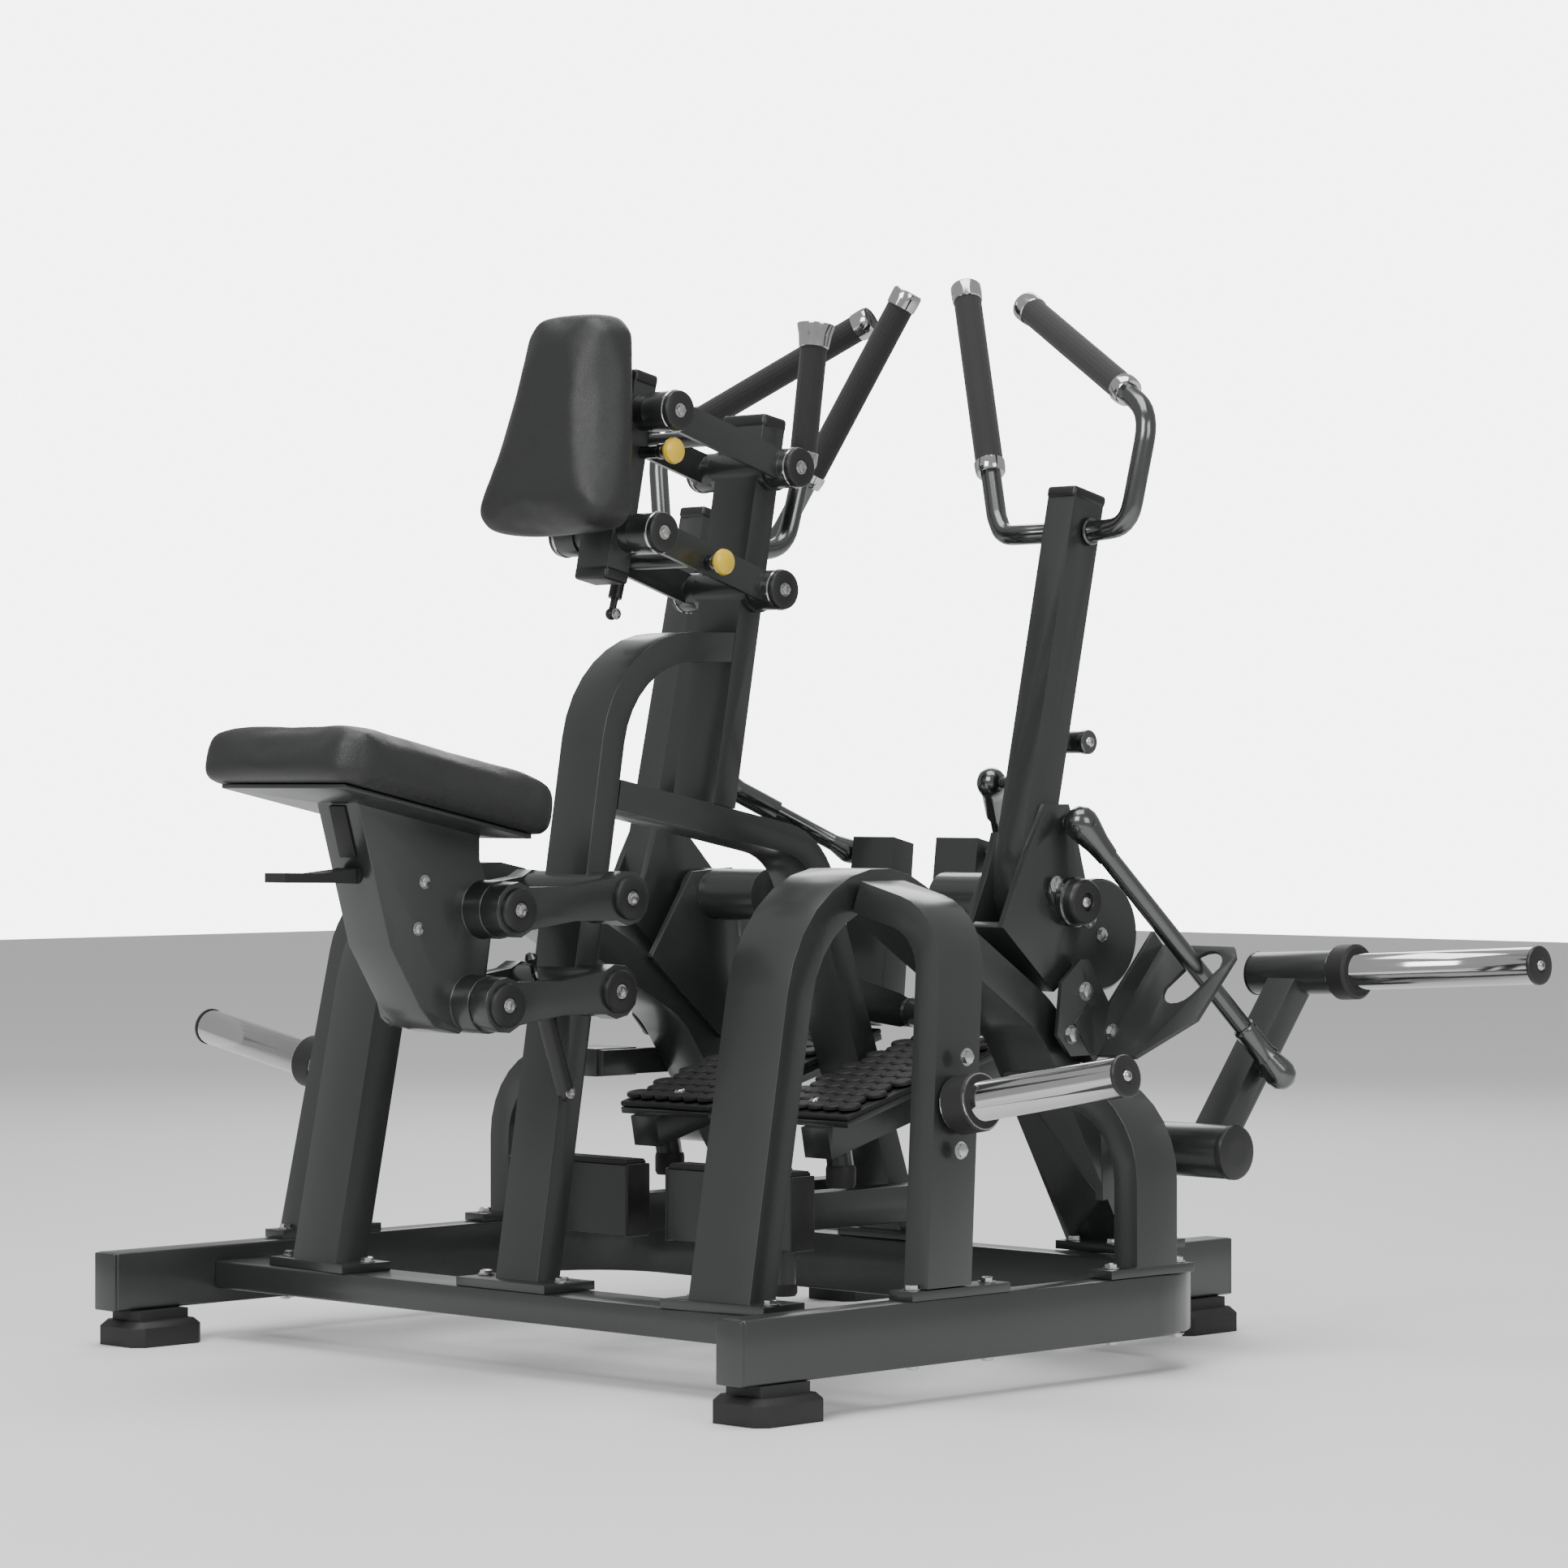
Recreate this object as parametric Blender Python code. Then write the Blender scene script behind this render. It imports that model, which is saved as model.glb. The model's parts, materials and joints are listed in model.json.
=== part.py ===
# Seated row machine, plate loaded, with pedal assist. Metres, +Z up, +Y the way the user faces, +X the user's right.
# The origin is on the floor under the middle of the overall box.
import math

import bmesh
import bpy
from mathutils import Matrix, Vector

for old in list(bpy.data.objects):
    bpy.data.objects.remove(old)

# Driving sizes
yShift = 0.0855           # puts the origin under the middle of the box
railTop, railHeight, railWidth = 0.128, 0.080, 0.045
railOut = 0.624           # outer face of each side rail
frontEnd = -0.600         # front end of the side rails
rearRailY = 0.316         # centre line of the rear cross rail
crossTop, crossHeight, crossFront, crossDepth = 0.107, 0.038, -0.430, 0.090
gap = 0.0003              # between pieces that touch
archToe = math.atan(0.085)
archX, archY = 0.390, -0.410
leverPivot = (0.245, 0.607)
weightPivot = (0.4155, 0.2695)
pedalPivot = (0.320, 0.445)
chestPivots = ((0.035, 1.193), (0.004, 1.027))
chestRears = ((-0.193, 1.258), (-0.222, 1.096))
seatPivots = ((-0.292, 0.616), (-0.312, 0.495))
seatRears = ((-0.489, 0.604), (-0.509, 0.483))

partCollection = bpy.data.collections.new("seated_row_machine")
cutterCollection = bpy.data.collections.new("cutters")
for c in (partCollection, cutterCollection):
    bpy.context.scene.collection.children.link(c)
cutterCollection.hide_render = True


def paint(name, color, metallic, roughness):
    mat = bpy.data.materials.new(name)
    mat.use_nodes = True
    shader = mat.node_tree.nodes["Principled BSDF"]
    shader.inputs["Base Color"].default_value = (*color, 1.0)
    shader.inputs["Metallic"].default_value = metallic
    shader.inputs["Roughness"].default_value = roughness
    mat.diffuse_color = (*color, 1.0)
    return mat


def put(name, bm, look, location=(0, 0, 0), helper=False):
    """Turn a bmesh into a named object in the right collection."""
    bmesh.ops.recalc_face_normals(bm, faces=bm.faces)
    mesh = bpy.data.meshes.new(name)
    bm.to_mesh(mesh)
    bm.free()
    ob = bpy.data.objects.new(name, mesh)
    ob.location = location
    (cutterCollection if helper else partCollection).objects.link(ob)
    if helper:
        ob.hide_render = True
        ob.display_type = "WIRE"
    else:
        color, metallic, roughness = look
        mesh.materials.append(paint(name, color, metallic, roughness))
    return ob


def place(bm, matrix):
    bmesh.ops.transform(bm, matrix=matrix, verts=bm.verts)
    return bm


def boxMesh(x, y, z):
    """Box between three (low, high) pairs."""
    bm = bmesh.new()
    bmesh.ops.create_cube(bm, size=1.0)
    size = Vector((x[1] - x[0], y[1] - y[0], z[1] - z[0]))
    mid = Vector((x[0] + x[1], y[0] + y[1], z[0] + z[1])) / 2
    return place(bm, Matrix.Translation(mid) @ Matrix.Diagonal((*size, 1.0)))


def prismMesh(outline, x0, x1):
    """Side outline of (y, z) points, drawn out along X."""
    bm = bmesh.new()
    a = [bm.verts.new((x0, y, z)) for y, z in outline]
    b = [bm.verts.new((x1, y, z)) for y, z in outline]
    bm.faces.new(a)
    bm.faces.new(reversed(b))
    n = len(outline)
    for i in range(n):
        bm.faces.new((a[i], b[i], b[(i + 1) % n], a[(i + 1) % n]))
    return bm


def rodMesh(start, end, radius, endRadius=None, sides=24):
    """Round bar between two points."""
    start, end = Vector(start), Vector(end)
    bm = bmesh.new()
    bmesh.ops.create_cone(bm, cap_ends=True, segments=sides, radius1=radius,
                          radius2=endRadius or radius, depth=(end - start).length)
    turn = (end - start).to_track_quat("Z", "Y").to_matrix().to_4x4()
    return place(bm, Matrix.Translation((start + end) / 2) @ turn)


def ballMesh(centre, radius):
    bm = bmesh.new()
    bmesh.ops.create_uvsphere(bm, u_segments=16, v_segments=10, radius=radius)
    return place(bm, Matrix.Translation(centre))


def filleted(points, radii, steps=6):
    """Round the inner corners of a flat path of (a, b) points."""
    path = [Vector(points[0])]
    for i in range(1, len(points) - 1):
        p, q, r = (Vector(points[j]) for j in (i - 1, i, i + 1))
        d0, d1 = (q - p).normalized(), (r - q).normalized()
        turn = d0.angle_signed(d1)
        reach = radii[i - 1] * math.tan(abs(turn) / 2)
        side = Vector((-d0.y, d0.x)) * (1 if d0.x * d1.y - d0.y * d1.x > 0 else -1)
        centre = q - d0 * reach + side * radii[i - 1]
        arm = (q - d0 * reach) - centre
        sign = 1 if d0.x * d1.y - d0.y * d1.x > 0 else -1
        for k in range(steps + 1):
            t = sign * abs(turn) * k / steps
            path.append(centre + Vector((arm.x * math.cos(t) - arm.y * math.sin(t),
                                         arm.x * math.sin(t) + arm.y * math.cos(t))))
    path.append(Vector(points[-1]))
    return path


def banded(path, depth, feet=(None, None)):
    """Outline of a strip of the given depth along a flat path, its ends cut level at the given heights."""
    left, right = [], []
    for i, p in enumerate(path):
        d0 = (p - path[i - 1]).normalized() if i else None
        d1 = (path[i + 1] - p).normalized() if i < len(path) - 1 else None
        d = ((d0 or d1) + (d1 or d0)).normalized()
        stretch = 1 / max(0.3, d.dot(d1 or d0))
        n = Vector((-d.y, d.x)) * depth / 2 * stretch
        left.append(p + n)
        right.append(p - n)
    for end, nearer, low in ((0, 1, feet[0]), (-1, -2, feet[1])):
        if low is not None:
            run = path[end] - path[nearer]
            for line in (left, right):
                line[end] = line[end] + run * ((low - line[end].y) / run.y)
    return [tuple(p) for p in left + right[::-1]]


def shifted(outline):
    return [(y + yShift, z) for y, z in outline]


def weld(base, *others):
    """Unite helper solids with a node."""
    for other in others:
        step = base.modifiers.new("weld", "BOOLEAN")
        step.operation = "UNION"
        step.solver = "EXACT"
        step.object = other
    return base


def drill(base, *others):
    for other in others:
        step = base.modifiers.new("drill", "BOOLEAN")
        step.operation = "DIFFERENCE"
        step.solver = "EXACT"
        step.object = other
    return base


def sideways(outline, y0, y1):
    """Front outline of (x, z) points, drawn out along Y."""
    bm = bmesh.new()
    a = [bm.verts.new((x, y0, z)) for x, z in outline]
    b = [bm.verts.new((x, y1, z)) for x, z in outline]
    bm.faces.new(a)
    bm.faces.new(reversed(b))
    n = len(outline)
    for i in range(n):
        bm.faces.new((a[i], b[i], b[(i + 1) % n], a[(i + 1) % n]))
    return bm


def mirrored(bm):
    """Left-hand copy of a bmesh."""
    copy = bm.copy()
    place(copy, Matrix.Diagonal((-1, 1, 1, 1)))
    bmesh.ops.reverse_faces(copy, faces=copy.faces)
    return copy


helperCount = 0


def tool(bm):
    global helperCount
    helperCount += 1
    return put("tool_%02d" % helperCount, bm, None, helper=True)


def pair(name, look, makers, origin=None):
    """Right-hand and left-hand nodes; the first maker is the base, the rest are welded on."""
    for side in ("right", "left"):
        pieces = [m.copy() if side == "right" else mirrored(m) for m in makers]
        move = Vector((0, 0, 0))
        if origin:
            move = Vector((origin[0] * (1 if side == "right" else -1), origin[1] + yShift, origin[2]))
            pieces = [place(p, Matrix.Translation(-move)) for p in pieces]
        base = put(name + "_" + side, pieces[0], look, move)
        helpers = []
        for p in pieces[1:]:
            place(p, Matrix.Translation(move))
            helpers.append(tool(p))
        weld(base, *helpers)


def single(name, look, makers, origin=None, cuts=()):
    move = Vector((origin[0], origin[1] + yShift, origin[2])) if origin else Vector((0, 0, 0))
    base = put(name, place(makers[0], Matrix.Translation(-move)), look, move)
    weld(base, *[tool(m) for m in makers[1:]])
    drill(base, *[tool(c) for c in cuts])
    return base


def at(x, y, z):
    return Vector((x, y + yShift, z))


def box(x, y, z):
    return boxMesh(x, (y[0] + yShift, y[1] + yShift), z)


def prism(outline, x0, x1):
    return prismMesh(shifted(outline), x0, x1)


def rod(start, end, radius, endRadius=None, sides=24):
    return rodMesh(at(*start), at(*end), radius, endRadius, sides)


def ball(centre, radius):
    return ballMesh(at(*centre), radius)


def toed(bm):
    """Turn a piece drawn about the arch's own plane into its toed place."""
    return place(bm, Matrix.Translation(at(archX, archY, 0)) @ Matrix.Rotation(archToe, 4, "Z")
                 @ Matrix.Translation((0, -(archY + yShift), 0)))


def loopTube(points, radius, sides=16):
    """Round tube along a polyline, capped."""
    bm = bmesh.new()
    rings = []
    normal = None
    for i, p in enumerate(points):
        d0 = (points[i] - points[i - 1]).normalized() if i else None
        d1 = (points[i + 1] - points[i]).normalized() if i < len(points) - 1 else None
        d = ((d0 or d1) + (d1 or d0)).normalized()
        if normal is None:
            normal = d.orthogonal().normalized()
        else:
            normal = (normal - d * normal.dot(d)).normalized()
        other = d.cross(normal)
        rings.append([bm.verts.new(p + (normal * math.cos(a) + other * math.sin(a)) * radius)
                      for a in (2 * math.pi * k / sides for k in range(sides))])
    for a, b in zip(rings, rings[1:]):
        for k in range(sides):
            bm.faces.new((a[k], a[(k + 1) % sides], b[(k + 1) % sides], b[k]))
    bm.faces.new(rings[0][::-1])
    bm.faces.new(rings[-1])
    return bm


def rounded3(points, radius, steps=6):
    """Round the corners of a path in space."""
    out = [points[0]]
    for p, q, r in zip(points, points[1:], points[2:]):
        d0, d1 = (q - p).normalized(), (r - q).normalized()
        turn = d0.angle(d1)
        reach = min(radius * math.tan(turn / 2), 0.48 * (q - p).length, 0.48 * (r - q).length)
        a, b = q - d0 * reach, q + d1 * reach
        for k in range(steps + 1):
            t = k / steps
            out.append(a.lerp(q, t).lerp(q.lerp(b, t), t))
    out.append(points[-1])
    return out


# Looks: colour, metallic, roughness
framePaint = ((0.115, 0.125, 0.120), 0.55, 0.38)
armPaint = ((0.120, 0.130, 0.125), 0.55, 0.36)
chrome = ((0.78, 0.78, 0.78), 1.0, 0.12)
steel = ((0.50, 0.50, 0.50), 1.0, 0.28)
gunmetal = ((0.22, 0.23, 0.23), 0.9, 0.25)
rubber = ((0.020, 0.021, 0.021), 0.0, 0.65)
foam = ((0.018, 0.018, 0.018), 0.0, 0.85)
hide = ((0.026, 0.027, 0.027), 0.0, 0.50)
knobYellow = ((0.72, 0.50, 0.03), 0.0, 0.35)

# Base: one bent tube for the two side rails and the rear cross rail, with the two rear stub rails
railMid = railOut - railWidth / 2
railPath = [(-railMid, frontEnd), (-railMid, rearRailY), (railMid, rearRailY), (railMid, frontEnd)]
plan = banded(filleted(railPath, (0.155, 0.155), 8), railWidth)
bm = bmesh.new()
low = [bm.verts.new((x, y + yShift, railTop - railHeight)) for x, y in plan]
high = [bm.verts.new((x, y + yShift, railTop)) for x, y in plan]
bm.faces.new(low)
bm.faces.new(reversed(high))
for i in range(len(plan)):
    j = (i + 1) % len(plan)
    bm.faces.new((low[i], high[i], high[j], low[j]))
stubs = [box((s * 0.325 - 0.0225, s * 0.325 + 0.0225), (0.330, 0.645), (0.048, 0.128)) for s in (1, -1)]
single("base_frame", framePaint, [bm] + stubs)

crossIn = railOut - railWidth - gap
single("front_cross_rail", framePaint,
       [box((-crossIn, crossIn), (crossFront, crossFront + crossDepth), (crossTop - crossHeight, crossTop))])

# Rubber feet
for name, x, y in (("foot_front_right", 0.595, -0.530), ("foot_front_left", -0.595, -0.530),
                   ("foot_rear_right", 0.325, 0.580), ("foot_rear_left", -0.325, 0.580)):
    w, d, c = 0.048, 0.060, 0.014
    ring = [(-w, -d + c), (-w + c, -d), (w - c, -d), (w, -d + c), (w, d - c), (w - c, d), (-w + c, d), (-w, d - c)]
    bm = bmesh.new()
    rings = []
    for scale, z in ((1.0, 0.0), (1.0, 0.026), (0.86, 0.034)):
        rings.append([bm.verts.new((x + a * scale, y + yShift + b * scale, z)) for a, b in ring])
    for a, b in zip(rings, rings[1:]):
        for k in range(8):
            bm.faces.new((a[k], a[(k + 1) % 8], b[(k + 1) % 8], b[k]))
    bm.faces.new(rings[0][::-1])
    bm.faces.new(rings[-1])
    plate = box((x - 0.030, x + 0.030), (y - 0.042, y + 0.042), (0.030, 0.048 - gap))
    single(name, rubber, [bm, plate])

# Arches: front leg, top bend, falling middle and rear post in one bent tube, 100 wide by 50 deep
archPath = filleted([(-0.3889, 0.100), (-0.268, 0.727), (0.214, 0.449), (0.4407, 0.100)],
                    (0.167, 0.15), 9)
archBody = toed(prism(banded(archPath, 0.050, (crossTop + 0.010, railTop + 0.010)), -0.050, 0.050))
frontPlate = toed(box((-0.085, 0.085), (-0.425, -0.345), (crossTop + gap, crossTop + 0.012)))
rearPlate = box((0.283, 0.393), (0.345, 0.490), (railTop + gap, railTop + 0.012))
axle = rod((0.376, *weightPivot), (0.3997, *weightPivot), 0.030)
ear = prism([(0.335, 0.200), (0.450, 0.215), (0.450, 0.300), (0.400, 0.310), (0.330, 0.300)], 0.364, 0.378)
pair("arch", framePaint, [archBody, frontPlate, rearPlate, ear, axle])

# Outriggers: arch top to side rail, 40 wide by 80 deep
legPath = filleted([(0.430, 0.622), (0.560, 0.590), (0.602, railTop + 0.012)], (0.085,), 7)
strut = sideways(banded(legPath, 0.040), -0.040, 0.040)
for v in strut.verts:
    v.co.y += -0.238 + yShift + 0.155 * (v.co.z - 0.140)
legFoot = box((0.582, 0.622), (-0.305, -0.125), (railTop + gap, railTop + 0.012))
pair("outrigger", framePaint, [strut, legFoot])

# Curved rear legs between the side rails and the rear posts
legCurve = filleted([(0.395, 0.365), (0.602, 0.365), (0.602, railTop + 0.012)], (0.115,), 8)
bm = sideways(banded(legCurve, 0.040), 0.120 + yShift, 0.200 + yShift)
tie = box((0.3860, 0.401), (0.125, 0.295), (0.347, 0.383))
foot = box((0.582, 0.622), (0.070, 0.235), (railTop + gap, railTop + 0.012))
pair("curved_leg", framePaint, [bm, tie, foot])

# Centre frame: post with its bend to the mast, mast, and the spine that falls to the rear cross rail
postPath = filleted([(-0.3790, 0.100), (-0.2375, 0.947), (-0.0100, 0.950)], (0.150,), 8)
post = prism(banded(postPath, 0.040, (crossTop + 0.006, None)), -0.040, 0.040)
postFoot = box((-0.085, 0.085), (-0.425, -0.335), (crossTop + gap, crossTop + 0.012))
bosses = [rod((-0.0735, y, z), (0.0735, y, z), 0.034) for y, z in seatPivots]
mastPath = [Vector((-0.0530, 0.7352)), Vector((0.0420, 1.250))]
single("centre_post", framePaint, [post, postFoot] + bosses, cuts=[prism(banded(mastPath, 0.0428), -0.042, 0.042)])

mast = prism(banded(mastPath, 0.042), -0.040, 0.040)
bosses = [rod((-0.0505, y, z), (0.0505, y, z), 0.030) for y, z in chestPivots]
single("mast", framePaint, [mast] + bosses)

spinePath = filleted([(-0.2478, 0.7510), (0.1235, 0.6807), (0.3297, 0.100)], (0.100,), 7)
spine = prism(banded(spinePath, 0.040, (None, railTop + 0.006)), -0.040, 0.040)
spineFoot = box((-0.080, 0.080), (0.292, 0.340), (railTop + gap, railTop + 0.012))
shaft = rod((-0.0402, *pedalPivot), (0.0402, *pedalPivot), 0.021)
lug = prism([(0.180, 0.505), (0.300, 0.472), (0.338, 0.455), (0.335, 0.432), (0.300, 0.425), (0.205, 0.440)],
            -0.034, 0.034)
single("spine", framePaint, [spine, spineFoot, lug, shaft])

# Foot bars below the pedals
barBox = box((0.040, 0.270), (-0.160, -0.120), (0.158, 0.252))
barArm = box((0.060, 0.100), (-0.130, 0.305), (0.160, 0.210))
barTie = box((0.0403, 0.061), (0.275, 0.300), (0.165, 0.205))
bumper = rod((0.235, -0.140, 0.160), (0.235, -0.140, 0.100), 0.018)
pair("foot_bar", framePaint, [barBox, barArm, barTie, bumper])

# Plate storage horns on the outriggers
hornStart, hornEnd = Vector((0.606, -0.2030, 0.3645)), Vector((0.875, -0.2000, 0.4120))
hornDir = (hornEnd - hornStart).normalized()
pair("storage_horn", chrome, [rod(hornStart, hornEnd, 0.025),
                              rod(hornStart, hornStart + hornDir * 0.040, 0.036)])

# Fixed pivot housings of the levers, on a plate beside each arch
side = toed(prism([(0.130, 0.520), (0.205, 0.640), (0.280, 0.645), (0.300, 0.480), (0.330, 0.425), (0.262, 0.400)],
                  -0.0610, -0.0503))
housing = rod((0.170, *leverPivot), (0.3155, *leverPivot), 0.037)
pair("pivot_housing", framePaint, [housing, side])

# Guard plates with the slot that the push rod runs through
inner = prism([(0.214, 0.500), (0.252, 0.530), (0.268, 0.530), (0.312, 0.468), (0.404, 0.564), (0.424, 0.544),
               (0.292, 0.401), (0.232, 0.401), (0.205, 0.430)], 0.4040, 0.4100)
spacer = toed(prism([(0.232, 0.445), (0.262, 0.470), (0.305, 0.410), (0.275, 0.390)], 0.0503, 0.0780))
bm = prismMesh([(0.0, 0.0), (0.067, 0.0), (0.135, 0.070), (0.140, 0.180), (0.128, 0.1974), (0.0, 0.1974)], -0.003, 0.003)
foldWay = Vector((0.679, 0.7342))
frameMat = Matrix(((0, 1, 0, 0.4072), (foldWay.y, 0, foldWay.x, 0.290 + yShift), (-foldWay.x, 0, foldWay.y, 0.399),
                   (0, 0, 0, 1)))
place(bm, frameMat)
pair("guard", framePaint, [inner, bm, spacer])
slotAlong = Vector((0.435, 0.900))
slotMid = Vector((0.0868, 0.1417))
slotSide = Vector((-slotAlong.y, slotAlong.x))
ring = []
for k in range(16):
    a = 2 * math.pi * k / 16
    end = slotAlong * (0.022 if math.cos(a) > 0 else -0.022)
    ring.append(tuple(slotMid + end + slotAlong * 0.0275 * math.cos(a) + slotSide * 0.0275 * math.sin(a)))
for side, sign in (("right", 1), ("left", -1)):
    hole = place(prismMesh(ring, -0.02, 0.02), frameMat)
    hole = hole if sign == 1 else mirrored(hole)
    drill(bpy.data.objects["guard_" + side], tool(hole))

# Levers: arm, side plates and lug in one node, with the pivot behind the arm's foot
arm = prism([(0.2745, 1.1570), (0.1720, 0.7000), (0.1630, 0.6600), (0.1640, 0.6150), (0.1740, 0.5860), (0.1950, 0.5720),
             (0.2150, 0.5800), (0.2230, 0.6100), (0.2260, 0.6700), (0.3330, 1.1433)], 0.3325, 0.3805)
outer = [(0.205, 0.738), (0.250, 0.738), (0.268, 0.690), (0.292, 0.610), (0.272, 0.562), (0.240, 0.500),
         (0.219, 0.487), (0.118, 0.575), (0.160, 0.660)]
outerPlate = prism(outer, 0.3800, 0.3910)
innerPlate = prism([(0.170, 0.700), (0.225, 0.700), (0.285, 0.640), (0.292, 0.600), (0.262, 0.545), (0.219, 0.488),
                    (0.119, 0.575), (0.150, 0.640)], 0.3220, 0.3330)
floorPlate = prism([(0.118, 0.575), (0.219, 0.487), (0.226, 0.494), (0.126, 0.582)], 0.3220, 0.3910)
bearing = rod((0.3908, *leverPivot), (0.4130, *leverPivot), 0.032)
lugStud = rod((0.3905, 0.245, 0.7125), (0.3990, 0.245, 0.7125), 0.009)
ballStud = rod((0.3330, 0.240, 0.767), (0.2795, 0.240, 0.767), 0.008)
stub = rod((0.3450, 0.298, 0.8215), (0.3750, 0.298, 0.8215), 0.015)
tab = box((0.3540, 0.3640), (0.2450, 0.2980), (0.8130, 0.8300))
pair("lever", armPaint, [arm, outerPlate, innerPlate, floorPlate, bearing, lugStud, ballStud, stub, tab],
     (0.356, *leverPivot))

# Handle tube: crosses the lever, both ends turn up into a grip
gripA0, gripA1 = at(0.1725, 0.333, 1.207), at(0.055, 0.412, 1.468)
gripB0, gripB1 = at(0.407, 0.344, 1.300), at(0.149, 0.435, 1.436)
inward = (gripA1 - gripA0).normalized()
across = (gripB1 - gripB0).normalized()
tubeInner = rounded3([gripA0, gripA0 - inward * 0.085, at(0.225, 0.303, 1.106), at(0.3310, 0.303, 1.106)], 0.050)
tubeOuter = rounded3([at(0.3820, 0.303, 1.106), at(0.4480, 0.305, 1.110), at(0.4750, 0.318, 1.262), gripB0], 0.060)
tubeOuter[-1:] = [gripB0 - across * 0.004, gripB0]
bore = rod((0.3300, 0.303, 1.106), (0.3830, 0.303, 1.106), 0.0140)
pair("handle_tube", gunmetal, [loopTube(tubeInner, 0.0140), bore, loopTube(tubeOuter, 0.0140)], (0.356, *leverPivot))
for side, sign in (("right", 1), ("left", -1)):
    clear = rod((sign * 0.3200, 0.303, 1.106), (sign * 0.3930, 0.303, 1.106), 0.0146)
    drill(bpy.data.objects["lever_" + side], tool(clear))
pair("grip_inner", foam, [rodMesh(gripA0 + inward * 0.0005, gripA1, 0.0195, sides=20)], (0.356, *leverPivot))
pair("grip_outer", foam, [rodMesh(gripB0 + across * 0.0005, gripB1, 0.0195, sides=20)], (0.356, *leverPivot))

# Push rods from the lever lugs to the weight arms
rodTop, rodFoot = Vector((0.417, 0.245, 0.7125)), Vector((0.548, 0.505, 0.3715))
along = (rodFoot - rodTop).normalized()
pair("push_rod", gunmetal, [rod(rodTop, rodFoot, 0.013), ball(rodTop, 0.0175), ball(rodFoot, 0.0190),
                            rod(rodFoot - along * 0.085, rodFoot, 0.0158)], (rodTop.x, rodTop.y, rodTop.z))

# Weight arms with their hubs, and the horns
wy, wz = weightPivot
lean = Vector((0.630, 0.777))
armLow = Vector((wy, wz)) - lean * 0.020
armHigh = Vector((wy, wz)) + lean * 0.300
weightArm = prism(banded([armLow, armHigh], 0.040), 0.4695, 0.5165)
hub = rod((0.400, wy, wz), (0.5360, wy, wz), 0.0365)
crossTube = rod((0.430, wy + lean.x * 0.300, wz + lean.y * 0.300), (0.570, wy + lean.x * 0.300, wz + lean.y * 0.300 + 0.005),
                0.030)
weightStud = rod((0.5160, 0.505, 0.3715), (0.5280, 0.505, 0.3715), 0.0065)
pair("weight_arm", armPaint, [weightArm, hub, crossTube, weightStud], (0.45, wy, wz))
hornRoot = Vector((0.5730, wy + lean.x * 0.300, wz + lean.y * 0.300 + 0.005))
hornTip = hornRoot + Vector((0.330, 0.0, 0.018))
hornWay = (hornTip - hornRoot).normalized()
pair("weight_horn", chrome, [rod(hornRoot, hornTip, 0.025), rod(hornRoot, hornRoot + hornWay * 0.030, 0.036)], (0.45, wy, wz))
# Link rods from the levers back to the pedal cranks
linkStart, linkEnd = Vector((0.260, 0.240, 0.767)), Vector((0.150, 0.390, 0.668))
linkWay = (linkEnd - linkStart).normalized()
pair("link_rod", gunmetal, [rod(linkStart, linkEnd, 0.012), ball(linkStart, 0.0180),
                            rod(linkStart, linkStart + linkWay * 0.090, 0.0160),
                            ball(linkEnd, 0.0150)], (linkStart.x, linkStart.y, linkStart.z))

# Pedal cranks: leaning tube, side plate on the shaft, and the arm below the tread
crank = prism([(0.335, 0.430), (0.385, 0.425), (0.408, 0.680), (0.366, 0.690)], 0.0410, 0.1200)
crankPlate = prism([(0.298, 0.440), (0.303, 0.462), (0.325, 0.470), (0.352, 0.460), (0.395, 0.410), (0.390, 0.365),
                    (0.352, 0.345), (0.3490, 0.425), (0.335, 0.425)], 0.1150, 0.1650)
hub = rod((0.0410, *pedalPivot), (0.1600, *pedalPivot), 0.0205)
treadArm = prism([(0.352, 0.404), (0.356, 0.360), (0.000, 0.264), (-0.008, 0.305)], 0.140, 0.190)
stopPad = rod((0.165, 0.035, 0.290), (0.165, 0.043, 0.250), 0.018)
linkStud = rod((0.1190, 0.390, 0.668), (0.1345, 0.390, 0.668), 0.008)
pedalPan = prism([(0.345, 0.411), (0.347, 0.403), (0.002, 0.307), (0.000, 0.315)], 0.046, 0.218)
pair("pedal", armPaint, [crank, crankPlate, hub, treadArm, stopPad, pedalPan, linkStud], (0.15, *pedalPivot))
pair("pedal_tread", rubber, [prism([(0.3450, 0.4214), (0.3450, 0.4113), (0.0000, 0.3153), (0.0000, 0.3254)], 0.044, 0.220)],
     (0.15, *pedalPivot))

# Fixed handle on the mast
gripC0, gripC1 = at(0.0, 0.140, 1.220), at(0.0, 0.164, 1.390)
hang = rounded3([at(0.0, 0.0375, 1.082), at(0.0, 0.104, 1.090), at(0.0, 0.1365, 1.195), gripC0], 0.060)
single("steady_handle", gunmetal, [loopTube(hang, 0.0130)])
single("steady_grip", foam, [rodMesh(gripC0 + (gripC1 - gripC0).normalized() * 0.0005, gripC1, 0.0190, sides=20)])


# Seat: two dog-bone links, bracket, pad, paddle and gas spring
def dogBone(rear, front, z=0.036):
    """Side outline of a link with round ends and a waist."""
    a, b = Vector(rear), Vector(front)
    d = (b - a).normalized()
    n = Vector((-d.y, d.x))
    out = []
    for k in range(9):
        t = math.radians(50 + 260 * k / 8)
        out.append(tuple(a + d * z * math.cos(t) + n * z * math.sin(t)))
    out.append(tuple((a + b) / 2 - n * z * 0.62))
    for k in range(9):
        t = math.radians(-130 + 260 * k / 8)
        out.append(tuple(b + d * z * math.cos(t) + n * z * math.sin(t)))
    out.append(tuple((a + b) / 2 + n * z * 0.62))
    return out


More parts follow.
